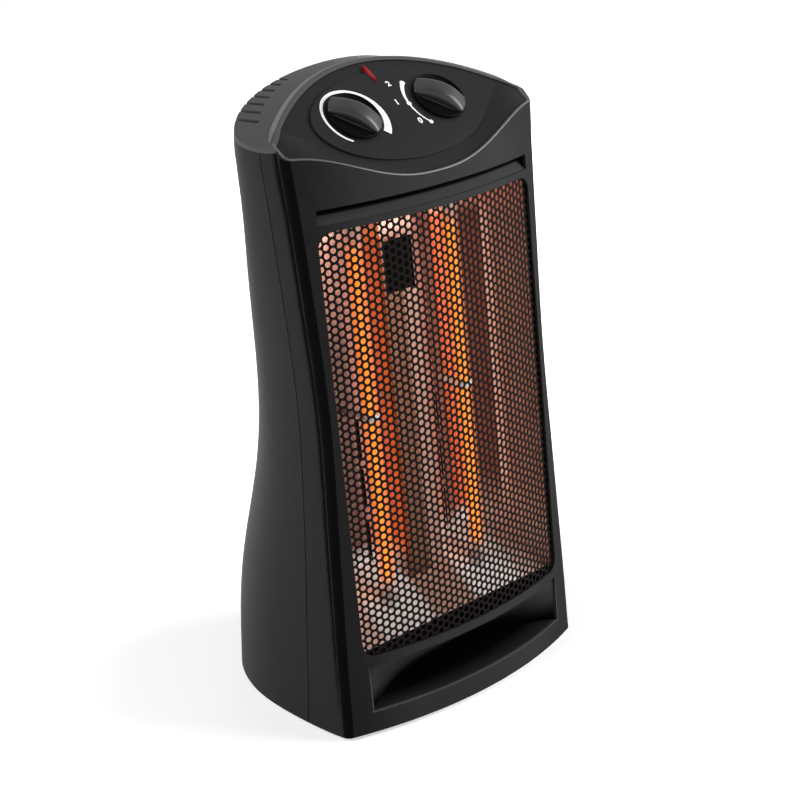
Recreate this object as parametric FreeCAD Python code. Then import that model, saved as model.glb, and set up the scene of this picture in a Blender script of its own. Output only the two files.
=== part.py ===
import FreeCAD, Part
import os
from math import sin, cos, asin, atan2, sqrt, pi, degrees

# Quartz heater, millimetres. +Z up, front faces -Y, x = 0 is the plane of symmetry.
# The origin is the middle of the footprint on the floor.
V = FreeCAD.Vector
os.makedirs("parts", exist_ok=True)

# Overall housing
DEPTH = 284.0            # front apex to back of base
FOOT = 4.0               # rubber feet lift the housing by this much
WALL = 2.5               # moulded wall
FACE_R = 375.0           # radius of the upright, bowed front face
CORNER_R = 9.0           # rounded upright front edges
FRONT_TUCK = 1.8         # front edge is this much narrower than the seam, each side
ROUND_POWER = 2.3        # power of the rounded rear outline
TOP_Z = 575.5            # crest of the crown above the floor
ARCH_R = 245.0           # front-view radius of the crown
GROOVE_W = 0.9           # shadow groove along the seam
GROOVE_DEEP = 1.2
CROWN_LID = 3.0          # depth of the crown's edge
# Outline stations: height above floor, half width at seam, back reach, seam reach
# Reaches are measured back from the front apex.
STATIONS = [
    (4.0, 145.0, 284.0, 81.0), (54.0, 143.6, 277.0, 74.0), (104.0, 141.8, 265.0, 69.0),
    (154.0, 139.8, 245.0, 64.0), (204.0, 137.8, 221.0, 60.0), (254.0, 135.6, 202.0, 57.0),
    (314.0, 134.6, 190.0, 54.5), (404.0, 137.5, 178.0, 54.0),
    (TOP_Z - 91.5, 141.0, 164.0, 54.5), (TOP_Z - 55.5, 143.2, 159.5, 54.5),
    (TOP_Z - 30.5, 141.5, 152.0, 55.0), (TOP_Z - 15.5, 135.0, 142.0, 55.0),
    (TOP_Z - 0.5, 121.0, 124.0, 55.0), (TOP_Z + 16.5, 100.0, 98.0, 55.0)]
# Sloped control panel, an arc through three points (back from apex, height)
PANEL_FRONT = (0.0, TOP_Z - 90.0)
PANEL_KNOB = (48.1, TOP_Z - 38.5)
PANEL_REAR = (91.0, TOP_Z - 3.2)
# Apron in front of the controls: from a crease on the panel to the front rim, which rises to the sides
CREASE_S = -56.2         # crease along the slope at the middle
CREASE_BEND = 0.0041     # and how fast it climbs to the sides, per mm squared
RIM_Z = TOP_Z - 88.7     # front rim at the middle
RIM_RISE = 32.7          # rim's rise from the middle to the corners
RIM_HALF = 139.0
RIM_POWER = 2.6
CAP_T = 3.0              # thickness of the control cap
CAP_DROP = 0.8           # cap sits this much below the rim
CAP_GAP = 0.15           # clearance round the cap
LEDGE_W = 5.0            # ledge inside the frame that carries the cap
LEDGE_T = 2.0
# Oval control plate, on the slope
PLATE_A = 92.0
PLATE_B = 47.5
PLATE_S = -5.0           # centre of the oval along the slope from the knob line
PLATE_T = 1.8
# Controls
KNOB_X = 48.0
KNOB_R = 25.0
KNOB_LIFT = 2.0          # knob underside above the panel arc
KNOB_SKIRT = 3.5
KNOB_TALL = 12.5
KNOB_DRAFT = 1.0         # taper of the skirt
KNOB_ROOF = 2.5          # cover left over the shaft
GRIP_W = 22.0
GRIP_END = 1.5           # height of the grip's ends above the skirt
SHAFT_R = 3.0
RUN_GAP = 0.05           # running clearance of a shaft or plunger
PANEL_HOLE_R = 5.0
POINT_HEAT = -46.0       # where the thermostat pointer rests
POINT_POWER = 136.0      # where the power pointer rests
BODY_W = 34.0            # thermostat and switch bodies
BODY_H = 30.0
BODY_D = 22.0
BODY_SAG = 0.25          # the cap's bow, so a flat body seats on its ends
LENS_L = 21.0            # pilot lens
LENS_W = 4.4
LENS_S = 41.0
LENS_TOP = 0.5           # the lens steps in by this much at its top
LENS_UP = 1.2
LENS_GAP = 0.1
LENS_SAG = 0.17
LAMP_R = 3.0
LAMP_L = 16.0
# Grille and openings in the face
GRILLE_W = 242.0
GRILLE_Z0 = 76.0
GRILLE_Z1 = 457.0
GRILLE_CORNER = 13.0
GRILLE_LAP = 5.0         # sheet runs this far behind the frame
GRILLE_T = 0.8
SEAT_GAP = 0.1
GRID_ACROSS = 12         # openings of the grille, across and up
GRID_UP = 18
GRID_BAR = 6.0
SLOT_W = 240.0
SLOT_Z0 = 463.0
SLOT_Z1 = 476.0
SLOT_DEEP = 13.0
LIP_T = 2.0
LIP_IN = 0.7             # the lip starts this far behind and below the slot's edge
LIP_END = 1.5            # and runs this far past its ends
SCOOP_W = 234.0
SCOOP_Z0 = 24.0
SCOOP_Z1 = 68.0
SCOOP_DEEP = 64.0        # from the front apex back along the floor of the scoop
SCOOP_TIP = 2.0          # depth behind the face at the tips and the upper lip
# Radiant bay
TUBE_X = 56.0
TUBE_BACK = 56.0         # tube axis behind the front apex
TUBE_R = 7.0
TUBE_WALL = 1.3
TUBE_Z0 = 90.0
TUBE_Z1 = 462.0
COIL_R = 3.6
END_R = 10.0             # ceramic ends
END_L = 20.0
END_LAP = 12.0
REFL_T = 0.8
REFL_Z0 = 80.0
REFL_Z1 = 452.0
WING_X = 120.0
WING_BACK = 26.0
FOLD_X = 106.0
RIDGE_X = 20.0
RIDGE_BACK = 64.0        # folds and centre ridge behind the apex
TROUGH_BACK = 89.0
WINDOW_W = 33.0
WINDOW_Z0 = 375.0
WINDOW_Z1 = 422.0
SLIT_X = 48.0
SLIT_W = 3.0
SLITS = [(124.0, 167.0), (179.0, 216.0), (226.0, 262.0)]
PLATE_SHEET = 1.0        # end plates of the reflector
ENDPLATE_FRONT = 29.0
ENDPLATE_BACK = 92.0
LOW_FRONT_Z = 77.0       # sloped lower plate, front and back heights
LOW_BACK_Z = 128.0
CLIP_Z = 272.0
CLIP_T = 1.0
CLIP_H = 6.0
SHIELD_T = 0.8
SHIELD_X = 112.0
CUTOUT_R = 9.0
CUTOUT_L = 9.0
CUT_PLATE_W = 38.0
CUT_PLATE_H = 62.0
# Base
BASE_T = 2.5
BASE_Z = 5.5             # underside of the base plate
BASE_GAP = 0.2
FOOT_R = 12.0
FOOT_X = 104.0
FOOT_REAR_X = 68.0
FOOT_FRONT = -86.0
FOOT_BACK = 86.0
BOSS_R = 5.0
BOSS_H = 20.0
SCREW_R = 1.6
HEAD_R = 3.4
HEAD_T = 1.6
PLUNGER_X = 45.0
PLUNGER_Y = 40.0
PLUNGER_R = 3.0
PLUNGER_L = 38.0
BUTTON_R = 5.5
BUTTON_H = 3.0
TIP_W = 24.0
TIP_D = 16.0
TIP_H = 30.0
BLOCK_W = 52.0
BLOCK_D = 20.0
BLOCK_H = 16.0
GLAND_Z = 30.0
GLAND_X = 0.0
GLAND_R = 7.0
GLAND_FLANGE = 10.0
GLAND_RIM = 2.0
GLAND_BORE = 3.6
GLAND_IN = 10.0
# Rear intake slots
LOUVRE_N = 9
LOUVRE_STEP = 12.0
LOUVRE_W = 4.0
LOUVRE_Z0 = 440.0
LOUVRE_Z1 = 492.0
# Crown vents
VENT_N = 7
VENT_X0 = 61.0
VENT_STEP = 9.7
VENT_W = 3.0
VENT_L = 31.0

FACE_Y = -DEPTH / 2
AXIS_Y = FACE_Y + FACE_R
BIG = 420.0


def back(d):
    """y of a point d behind the front apex."""
    return FACE_Y + d


def station(z, k):
    """Size k of the outline at height z, by straight steps between stations."""
    for a, b in zip(STATIONS, STATIONS[1:]):
        if z <= b[0]:
            return a[k] + (b[k] - a[k]) * (z - a[0]) / (b[0] - a[0])
    return STATIONS[-1][k]


def rear_y(x, z, inset=0.0):
    """y of the rear outline at width x and height z."""
    w, yb, ys = station(z, 1) - inset, back(station(z, 2)) - inset, back(station(z, 3))
    return ys + (yb - ys) * (1 - (abs(x) / w) ** ROUND_POWER) ** (1 / ROUND_POWER)


def section(z, w, reach, seam, inset):
    """Closed outline at one height: bowed face, two rounded corners, rounded rear."""
    w, wf, r, rf = w - inset, w - FRONT_TUCK - inset, CORNER_R - inset, FACE_R - inset
    cx = wf - r
    cy = AXIS_Y - sqrt((rf - r) ** 2 - cx ** 2)
    fx, fy = cx * rf / (rf - r), AXIS_Y + (cy - AXIS_Y) * rf / (rf - r)
    a = 0.5 * (atan2(fy - cy, fx - cx))
    mx, my = cx + r * cos(a), cy + r * sin(a)
    ys, yb = back(seam), back(reach) - inset
    pts = [V(wf, cy, z), V(w, ys, z)]
    for i in range(1, 6):
        t = i * pi / 12
        pts.append(V(w * cos(t) ** (2 / ROUND_POWER), ys + (yb - ys) * sin(t) ** (2 / ROUND_POWER), z))
    pts = pts + [V(0, yb, z)] + [V(-p.x, p.y, z) for p in reversed(pts)]
    rear = Part.BSplineCurve()
    steps = [float(i) for i in range(len(pts))]
    rear.interpolate(Points=pts, Parameters=steps)
    face = Part.Arc(V(-fx, fy, z), V(0, AXIS_Y - rf, z), V(fx, fy, z)).toShape()
    right = Part.Arc(V(fx, fy, z), V(mx, my, z), V(wf, cy, z)).toShape()
    left = Part.Arc(V(-wf, cy, z), V(-mx, my, z), V(-fx, fy, z)).toShape()
    return Part.Wire([face, right, rear.toShape(), left])


def body(inset):
    return Part.makeLoft([section(z, w, b, s, inset) for z, w, b, s in STATIONS], True, False)


def prism_x(points, x0=-BIG / 2, x1=BIG / 2):
    """Solid from a closed (y, z) polygon run along x."""
    w = Part.makePolygon([V(x0, y, z) for y, z in points + points[:1]])
    return Part.Face(w).extrude(V(x1 - x0, 0, 0))


def box(x0, x1, y0, y1, z0, z1):
    return Part.makeBox(x1 - x0, y1 - y0, z1 - z0, V(x0, y0, z0))


def cyl(r, h, p, axis=V(0, 0, 1)):
    return Part.makeCylinder(r, h, p, axis)


def under_arch(drop):
    """Everything below the crown's arch, lowered by drop."""
    r, top, half = ARCH_R - drop, TOP_Z - drop, BIG * 0.4
    cz = top - r
    e = Part.Arc(V(-half, 0, cz + sqrt(r * r - half * half)), V(0, 0, top),
                 V(half, 0, cz + sqrt(r * r - half * half))).toShape()
    z = cz + sqrt(r * r - half * half)
    w = Part.Wire([e, Part.makeLine(V(half, 0, z), V(half, 0, -20)),
                   Part.makeLine(V(half, 0, -20), V(-half, 0, -20)),
                   Part.makeLine(V(-half, 0, -20), V(-half, 0, z))])
    return Part.Face(w).extrude(V(0, BIG, 0)).translated(V(0, -BIG / 2, 0))


# Panel arc: circle through the three panel points
(PY1, PZ1), (PY2, PZ2), (PY3, PZ3) = [(back(d), z) for d, z in (PANEL_FRONT, PANEL_KNOB, PANEL_REAR)]
_d = 2 * (PY1 * (PZ2 - PZ3) + PY2 * (PZ3 - PZ1) + PY3 * (PZ1 - PZ2))
_s1, _s2, _s3 = PY1 ** 2 + PZ1 ** 2, PY2 ** 2 + PZ2 ** 2, PY3 ** 2 + PZ3 ** 2
PAN_Y = (_s1 * (PZ2 - PZ3) + _s2 * (PZ3 - PZ1) + _s3 * (PZ1 - PZ2)) / _d
PAN_Z = (_s1 * (PY3 - PY2) + _s2 * (PY1 - PY3) + _s3 * (PY2 - PY1)) / _d
PAN_R = sqrt((PY2 - PAN_Y) ** 2 + (PZ2 - PAN_Z) ** 2)
TILT = pi / 2 - atan2(PZ2 - PAN_Z, -(PY2 - PAN_Y))
PANEL_N = V(0, -sin(TILT), cos(TILT))
PANEL_E = V(0, cos(TILT), sin(TILT))


def under_panel(rise):
    """Everything below the control panel's arc, raised by rise."""
    r = PAN_R + rise
    y0, y1 = FACE_Y - 30, back(150.0)
    ym = (y0 + y1) / 2
    z0, zm, z1 = [PAN_Z + sqrt(r * r - (y - PAN_Y) ** 2) for y in (y0, ym, y1)]
    x = -BIG / 2
    e = Part.Arc(V(x, y0, z0), V(x, ym, zm), V(x, y1, z1)).toShape()
    rest = [V(x, y1, z1), V(x, BIG, z1), V(x, BIG, -20), V(x, y0, -20), V(x, y0, z0)]
    w = Part.Wire([e] + Part.makePolygon(rest).Edges)
    return Part.Face(w).extrude(V(BIG, 0, 0))


def panel_point(s):
    """(y, z) on the panel's arc, s along the slope from the knob line."""
    a = s / PAN_R - TILT
    return PAN_Y + PAN_R * sin(a), PAN_Z + PAN_R * cos(a)


def apron(rise):
    """Ruled wedge from the crease to the front rim, run on past the face and in under the panel."""
    n, half, near, far = 10, RIM_HALF + 11.0, -0.2, 1.6
    steps = [float(i) for i in range(2 * n + 1)]
    crease, front = [], []
    for i in range(2 * n + 1):
        x = half * (i - n) / n
        y, z = panel_point(CREASE_S + CREASE_BEND * x * x)
        fz = RIM_Z + RIM_RISE * sin(pi / 2 * min(1.0, abs(x) / RIM_HALF)) ** RIM_POWER
        fy = AXIS_Y - sqrt(FACE_R ** 2 - x * x)
        crease.append(V(x, y + near * (fy - y), z + near * (fz - z)))
        front.append(V(x, y + far * (fy - y), z + far * (fz - z)))
    edges = []
    for pts in (crease, front):
        c = Part.BSplineCurve()
        c.interpolate(Points=pts, Parameters=steps)
        edges.append(c.toShape())
    wedge = Part.makeRuledSurface(edges[0], edges[1]).extrude(V(0, 0, -90))
    return wedge.translated(PANEL_N * rise)


def under_top(rise):
    """Everything below the panel and its apron, raised by rise."""
    return under_panel(rise).fuse(apron(rise))


def on_panel(shape, x, s=0.0):
    """Set a shape built at the origin (z out of the panel) on the panel at x and slope s."""
    a = s / PAN_R
    y, z = panel_point(s)
    rot = FreeCAD.Rotation(V(1, 0, 0), degrees(TILT - a))
    out = shape.copy()
    out.Placement = FreeCAD.Placement(V(x, y, z), rot).multiply(out.Placement)
    return out


def front_of_seam():
    pts = [V(-BIG / 2, back(s), z) for z, _, _, s in STATIONS]
    c = Part.BSplineCurve()
    c.interpolate(Points=pts)
    a, b = pts[0], pts[-1]
    lo, hi = V(a.x, a.y, -20), V(b.x, b.y, 640)
    f0, f1 = V(a.x, -BIG, -20), V(a.x, -BIG, 640)
    w = Part.Wire([Part.makeLine(lo, a), c.toShape(), Part.makeLine(b, hi), Part.makeLine(hi, f1),
                   Part.makeLine(f1, f0), Part.makeLine(f0, lo)])
    return Part.Face(w).extrude(V(BIG, 0, 0))


def rounded_window(w, z0, z1, r, y0, y1):
    """Rounded rectangle in the front view, run along y."""
    b = box(-w / 2, w / 2, y0, y1, z0, z1)
    edges = [e for e in b.Edges if abs(e.Vertexes[0].Y - e.Vertexes[1].Y) > 1]
    return b.makeFillet(r, edges)


def sweep_face(profile, half_w):
    """Turn an (inward depth, z) polygon about the face's axis, as wide as half_w each side."""
    a = degrees(asin(half_w / FACE_R))
    pts = [V(0, FACE_Y + d, z) for d, z in profile]
    f = Part.Face(Part.makePolygon(pts + pts[:1]))
    f.rotate(V(0, AXIS_Y, 0), V(0, 0, 1), -a)
    return f.revolve(V(0, AXIS_Y, 0), V(0, 0, 1), 2 * a)


def face_y(x, inset=0.0):
    return AXIS_Y - sqrt((FACE_R - inset) ** 2 - x * x)


nodes = {}
OUTER = body(0.0)
INNER = body(WALL)
SEAM = front_of_seam()
whole = OUTER.common(under_arch(0)).common(under_top(0))
hollow = INNER.common(under_arch(WALL))
skin = whole.cut(hollow)
lid_line = under_arch(CROWN_LID)

# Crown: the arched lid behind the controls, with a row of vents on each shoulder
crown = skin.cut(lid_line)
vents = []
for i in range(VENT_N):
    for side in (-1, 1):
        x = side * (VENT_X0 + i * VENT_STEP)
        y1 = rear_y(x, TOP_Z - 30)
        vents.append(box(x - VENT_W / 2, x + VENT_W / 2, y1 - VENT_L, y1 + 20, TOP_Z - 75, TOP_Z + 5))
nodes["rear_crown"] = crown.cut(Part.makeCompound(vents))

# Front frame: the face, its side bands, the scoop and the vent slot
frame = skin.common(SEAM).common(lid_line)
frame = frame.cut(rounded_window(GRILLE_W, GRILLE_Z0, GRILLE_Z1, GRILLE_CORNER, FACE_Y - 20, back(46.0)))
slot_cut = [(-6, SLOT_Z0), (WALL + 1, SLOT_Z0), (WALL + 1, SLOT_Z1), (-6, SLOT_Z1)]
frame = frame.cut(sweep_face(slot_cut, SLOT_W / 2))
lip = sweep_face([(LIP_IN, SLOT_Z0 - LIP_IN), (SLOT_DEEP, SLOT_Z1), (SLOT_DEEP, SLOT_Z1 - LIP_T),
                  (LIP_IN, SLOT_Z0 - LIP_IN - LIP_T)], SLOT_W / 2 + LIP_END)
frame = frame.fuse(lip)


def scoop(grow):
    """Hollow under the grille: its floor arch draws in to the upper lip. Grown, it gives the liner."""
    h, z0, z1, n = SCOOP_W / 2 + grow, SCOOP_Z0 - grow, SCOOP_Z1 + grow, 8
    wires = []
    for z, deep in ((z0, SCOOP_DEEP + 3 * grow), (z1, SCOOP_TIP + grow)):
        pts = []
        for i in range(2 * n + 1):
            x = h * (i - n) / n
            base = face_y(x, SCOOP_TIP + grow)
            y = max(base, base + (back(deep) - back(SCOOP_TIP + grow)) * (1 - (x / h) ** 2))
            pts.append(V(x, y, z))
        c = Part.BSplineCurve()
        c.interpolate(Points=pts)
        p, q = V(h, FACE_Y - 30, z), V(-h, FACE_Y - 30, z)
        wires.append(Part.Wire([c.toShape(), Part.makeLine(pts[-1], p), Part.makeLine(p, q),
                                Part.makeLine(q, pts[0])]))
    return Part.makeLoft(wires, True, True)


liner = scoop(WALL).common(whole).common(SEAM)
frame = frame.fuse(liner).cut(scoop(0.0))

# Screw bosses on the frame and on the rear shell, joined to their walls
boss_z0 = BASE_Z + BASE_T
boss_y = [back(40.0), rear_y(0.66 * station(FOOT, 1), FOOT, WALL) - BOSS_R + 1.5]
boss_x = [station(FOOT, 1) - FRONT_TUCK - WALL - BOSS_R + 1.5, 0.66 * station(FOOT, 1)]
bosses = []
for x, y in zip(boss_x, boss_y):
    for side in (-1, 1):
        bosses.append(cyl(BOSS_R, BOSS_H, V(side * x, y, boss_z0)))
pilots = Part.makeCompound([cyl(SCREW_R, BOSS_H - 4, V(side * x, y, BASE_Z - 1))
                            for x, y in zip(boss_x, boss_y) for side in (-1, 1)])
under_cap = CAP_DROP + CAP_T
ledge = INNER.common(SEAM).common(under_top(-under_cap)).cut(under_top(-under_cap - LEDGE_T))
ledge = ledge.common(lid_line).cut(body(WALL + LEDGE_W))
frame = frame.fuse(ledge)
nodes["front_frame"] = frame.fuse([b.common(whole) for b in bosses[:2]]).cut(pilots).removeSplitter()

# Rear shell: everything behind the seam, up to the crown, with a shadow groove along the seam
rear = skin.common(lid_line).cut(SEAM).fuse([b.common(whole) for b in bosses[2:]]).cut(pilots)
slots = []
for i in range(LOUVRE_N):
    x = (i - (LOUVRE_N - 1) / 2) * LOUVRE_STEP
    slots.append(box(x - LOUVRE_W / 2, x + LOUVRE_W / 2, back(110.0), BIG, LOUVRE_Z0, LOUVRE_Z1))
rear = rear.cut(Part.makeCompound(slots))
groove = SEAM.translated(V(0, GROOVE_W, 0)).common(rear.copy()).cut(body(GROOVE_DEEP))
rear = rear.cut(groove)
gland_y = rear_y(GLAND_X, GLAND_Z)
gland_hole = cyl(GLAND_R, 60, V(GLAND_X, gland_y - 40, GLAND_Z), V(0, 1, 0))
nodes["rear_shell"] = rear.cut(gland_hole).removeSplitter()
bush = cyl(GLAND_R, GLAND_IN, V(GLAND_X, gland_y - GLAND_IN, GLAND_Z), V(0, 1, 0))
rim = cyl(GLAND_FLANGE, GLAND_RIM + 14, V(GLAND_X, gland_y - 14, GLAND_Z), V(0, 1, 0)).cut(whole)
bore = cyl(GLAND_BORE, 60, V(GLAND_X, gland_y - 30, GLAND_Z), V(0, 1, 0))
nodes["cord_gland"] = bush.fuse(rim).cut(bore).removeSplitter()

# Control cap, oval plate and pilot lens
cap_zone = body(WALL + CAP_GAP).common(under_arch(WALL + CAP_GAP))
cap = cap_zone.common(under_top(-CAP_DROP)).cut(under_top(-CAP_DROP - CAP_T))
oval = Part.Ellipse(V(0, 0, 0), PLATE_A, PLATE_B).toShape()
oval = Part.Face(Part.Wire([oval])).extrude(V(0, 0, 60)).translated(V(0, 0, -30))
oval = on_panel(oval, 0.0, PLATE_S)
plate = oval.common(under_panel(PLATE_T - CAP_DROP)).cut(under_panel(-CAP_DROP))


def leaf(length, width, h0, h1):
    """Leaf outline of two equal arcs, as a prism from h0 to h1."""
    a, b = V(0, -length / 2, h0), V(0, length / 2, h0)
    sides = [Part.Arc(a, V(width / 2, 0, h0), b), Part.Arc(b, V(-width / 2, 0, h0), a)]
    w = Part.Wire([arc.toShape() for arc in sides])
    return Part.Face(w).extrude(V(0, 0, h1 - h0))


leaf_hole = on_panel(leaf(LENS_L + 2 * LENS_GAP, LENS_W + 2 * LENS_GAP, -12, 12), 0.0, LENS_S)
holes = [on_panel(cyl(PANEL_HOLE_R, 40, V(0, 0, -20)), side * KNOB_X) for side in (-1, 1)] + [leaf_hole]
holes = Part.makeCompound(holes)
nodes["control_cap"] = cap.cut(holes)
nodes["control_plate"] = plate.cut(holes)
lens_top = PLATE_T - CAP_DROP + LENS_UP
stem = leaf(LENS_L, LENS_W, -CAP_DROP - CAP_T, lens_top - LENS_TOP)
stem = stem.fuse(leaf(LENS_L - 6 * LENS_TOP, LENS_W - 2 * LENS_TOP, lens_top - LENS_TOP, lens_top))
brim = leaf(LENS_L + 4, LENS_W + 3, -CAP_DROP - CAP_T - 1.2, -CAP_DROP - CAP_T - LENS_SAG)
neck = leaf(LENS_L, LENS_W, -CAP_DROP - CAP_T - 1.2, -CAP_DROP - CAP_T)
nodes["indicator_lens"] = on_panel(stem.fuse([brim, neck]).removeSplitter(), 0.0, LENS_S)
lamp_z = -CAP_DROP - CAP_T - 1.2
nodes["indicator_lamp"] = on_panel(cyl(LAMP_R, LAMP_L, V(0, 0, lamp_z - LAMP_L)), 0.0, LENS_S)


shaft_top = KNOB_LIFT + KNOB_TALL - KNOB_ROOF


def knob(point):
    """Low round skirt with a wide, arched grip bar between two half-moon hollows."""
    z0, z1, z2 = KNOB_LIFT, KNOB_LIFT + KNOB_SKIRT, KNOB_LIFT + KNOB_TALL
    disc = Part.makeCone(KNOB_R, KNOB_R - KNOB_DRAFT, KNOB_SKIRT, V(0, 0, z0))
    bar = cyl(KNOB_R - KNOB_DRAFT, z2 - z1, V(0, 0, z1))
    bar = bar.common(box(-KNOB_R, KNOB_R, -GRIP_W / 2, GRIP_W / 2, z1 - 1, z2 + 1))
    half, rise = KNOB_R - KNOB_DRAFT, z2 - z1 - GRIP_END
    arch_r = (half ** 2 + rise ** 2) / (2 * rise)
    bar = bar.common(cyl(arch_r, 2 * KNOB_R, V(0, -KNOB_R, z2 - arch_r), V(0, 1, 0)))
    k = disc.fuse(bar)
    k = k.cut(cyl(SHAFT_R, shaft_top, V(0, 0, 0)))
    k.rotate(V(0, 0, 0), V(0, 0, 1), point)
    return k.removeSplitter()


body_top = -CAP_DROP - CAP_T
control_body = box(-BODY_W / 2, BODY_W / 2, -BODY_H / 2, BODY_H / 2, body_top - BODY_D, body_top - BODY_SAG)
control_body = control_body.fuse(cyl(PANEL_HOLE_R, CAP_T + BODY_SAG, V(0, 0, body_top - BODY_SAG)))
control_body = control_body.cut(cyl(SHAFT_R + RUN_GAP, BODY_D, V(0, 0, body_top - BODY_D + 4)))
shaft = cyl(SHAFT_R, shaft_top - body_top + BODY_D - 6, V(0, 0, body_top - BODY_D + 6))
for side, name, bodyname, point in ((-1, "thermostat", "thermostat_body", POINT_HEAT),
                                    (1, "power", "rotary_switch_body", POINT_POWER)):
    nodes[name + "_knob"] = on_panel(knob(point), side * KNOB_X)
    nodes[name + "_shaft"] = on_panel(shaft, side * KNOB_X)
    nodes[bodyname] = on_panel(control_body, side * KNOB_X)

# Grille: bowed sheet with a grid of openings, seated behind the window
g0 = WALL + SEAT_GAP
gz0, gz1 = GRILLE_Z0 - GRILLE_LAP, GRILLE_Z1 + GRILLE_LAP
g_cut = [(g0, gz0), (g0 + GRILLE_T, gz0), (g0 + GRILLE_T, gz1), (g0, gz1)]
sheet = sweep_face(g_cut, GRILLE_W / 2 + GRILLE_LAP)
cell_w = GRILLE_W / GRID_ACROSS
cell_h = (GRILLE_Z1 - GRILLE_Z0) / GRID_UP
openings = []
for i in range(GRID_ACROSS):
    for j in range(GRID_UP):
        x0 = -GRILLE_W / 2 + i * cell_w + GRID_BAR / 2
        z0 = GRILLE_Z0 + j * cell_h + GRID_BAR / 2
        openings.append(box(x0, x0 + cell_w - GRID_BAR, FACE_Y - 5, back(60.0), z0, z0 + cell_h - GRID_BAR))
nodes["grille"] = sheet.cut(Part.makeCompound(openings))


# Reflector: folded sheet with two troughs and a flat ridge
def fold_wire(z):
    m, t, r = back(WING_BACK), back(TROUGH_BACK), back(RIDGE_BACK)
    mid = 0.5 * (FOLD_X + RIDGE_X)
    e = [Part.makeLine(V(-WING_X, m, z), V(-FOLD_X, r, z)),
         Part.Arc(V(-FOLD_X, r, z), V(-mid, t, z), V(-RIDGE_X, r, z)).toShape(),
         Part.makeLine(V(-RIDGE_X, r, z), V(RIDGE_X, r, z)),
         Part.Arc(V(RIDGE_X, r, z), V(mid, t, z), V(FOLD_X, r, z)).toShape(),
         Part.makeLine(V(FOLD_X, r, z), V(WING_X, m, z))]
    return Part.Wire(e)


fold = fold_wire(REFL_Z0)
far = [V(WING_X, back(WING_BACK), REFL_Z0), V(WING_X, BIG, REFL_Z0), V(-WING_X, BIG, REFL_Z0),
       V(-WING_X, back(WING_BACK), REFL_Z0)]
behind = Part.Face(Part.Wire(fold.Edges + Part.makePolygon(far).Edges)).extrude(V(0, 0, REFL_Z1 - REFL_Z0))
band = fold.makeOffset2D(-REFL_T, 0, True, True)
refl = band.extrude(V(0, 0, REFL_Z1 - REFL_Z0))
cuts = [box(-WINDOW_W / 2, WINDOW_W / 2, back(RIDGE_BACK) - 5, back(RIDGE_BACK) + 5, WINDOW_Z0, WINDOW_Z1)]
for z0, z1 in SLITS:
    for side in (-1, 1):
        cuts.append(box(side * SLIT_X - SLIT_W / 2, side * SLIT_X + SLIT_W / 2, back(RIDGE_BACK),
                        back(TROUGH_BACK) + 5, z0, z1))
refl = refl.cut(Part.makeCompound(cuts))

# End plates, with the tubes passing through
tube_y = back(TUBE_BACK)
tube_holes = Part.makeCompound([cyl(END_R, BIG, V(s * TUBE_X, tube_y, 50)) for s in (-1, 1)])
top_plate = box(-BIG, BIG, back(ENDPLATE_FRONT), back(ENDPLATE_BACK), REFL_Z1, REFL_Z1 + PLATE_SHEET)
low_t = PLATE_SHEET * 1.4
low = prism_x([(back(ENDPLATE_FRONT), LOW_FRONT_Z), (back(ENDPLATE_BACK), LOW_BACK_Z),
               (back(ENDPLATE_BACK), LOW_BACK_Z + low_t), (back(ENDPLATE_FRONT), LOW_FRONT_Z + low_t)],
              -BIG, BIG)
below = prism_x([(back(0), LOW_FRONT_Z - 200), (back(ENDPLATE_BACK) + 60, LOW_FRONT_Z - 200),
                 (back(ENDPLATE_BACK) + 60, LOW_BACK_Z + low_t + 60 * (LOW_BACK_Z - LOW_FRONT_Z)
                  / (ENDPLATE_BACK - ENDPLATE_FRONT)), (back(ENDPLATE_FRONT), LOW_FRONT_Z + low_t),
                 (back(0), LOW_FRONT_Z + low_t)])
nodes["reflector"] = refl.cut(below)
nodes["upper_end_plate"] = top_plate.common(INNER).cut(tube_holes)
nodes["lower_end_plate"] = low.common(INNER).cut(tube_holes)

# Quartz tubes, coils, ceramic ends and middle clips
ends, clips = [], []
for side, name in ((-1, "left"), (1, "right")):
    p = V(side * TUBE_X, tube_y, TUBE_Z0)
    length = TUBE_Z1 - TUBE_Z0
    tube = cyl(TUBE_R, length, p).cut(cyl(TUBE_R - TUBE_WALL, length, p))
    nodes["quartz_tube_" + name] = tube
    nodes["heating_coil_" + name] = cyl(COIL_R, length, p)
    for z0 in (TUBE_Z0 + END_LAP - END_L, TUBE_Z1 - END_LAP):
        ends.append(cyl(END_R, END_L, V(p.x, p.y, z0)).cut(cyl(TUBE_R, length, p)))
    ring = cyl(TUBE_R + CLIP_T, CLIP_H, V(p.x, p.y, CLIP_Z)).cut(cyl(TUBE_R, CLIP_H, V(p.x, p.y, CLIP_Z)))
    arm = box(p.x - 2.5, p.x + 2.5, p.y + TUBE_R + 0.4, back(TROUGH_BACK) + 5, CLIP_Z, CLIP_Z + CLIP_H)
    clips.append(ring.fuse(arm.cut(behind)).removeSplitter())
nodes["ceramic_ends"] = Part.makeCompound(ends)
nodes["tube_clips"] = Part.makeCompound(clips)

# Heat shield behind the reflector, hung from the end plates
sy = back(ENDPLATE_BACK)
nodes["heat_shield"] = box(-SHIELD_X, SHIELD_X, sy, sy + SHIELD_T, LOW_BACK_Z - 20, REFL_Z1 + PLATE_SHEET)
cy = back(RIDGE_BACK) + REFL_T
wz = 0.5 * (WINDOW_Z0 + WINDOW_Z1)
cut_w, cut_h = CUT_PLATE_W / 2, CUT_PLATE_H / 2
nodes["cutout_bracket"] = box(-cut_w, cut_w, cy, cy + 1, wz - cut_h, wz + cut_h)
nodes["overheat_cutout"] = cyl(CUTOUT_R, CUTOUT_L, V(0, cy + 1, wz), V(0, 1, 0))

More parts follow.
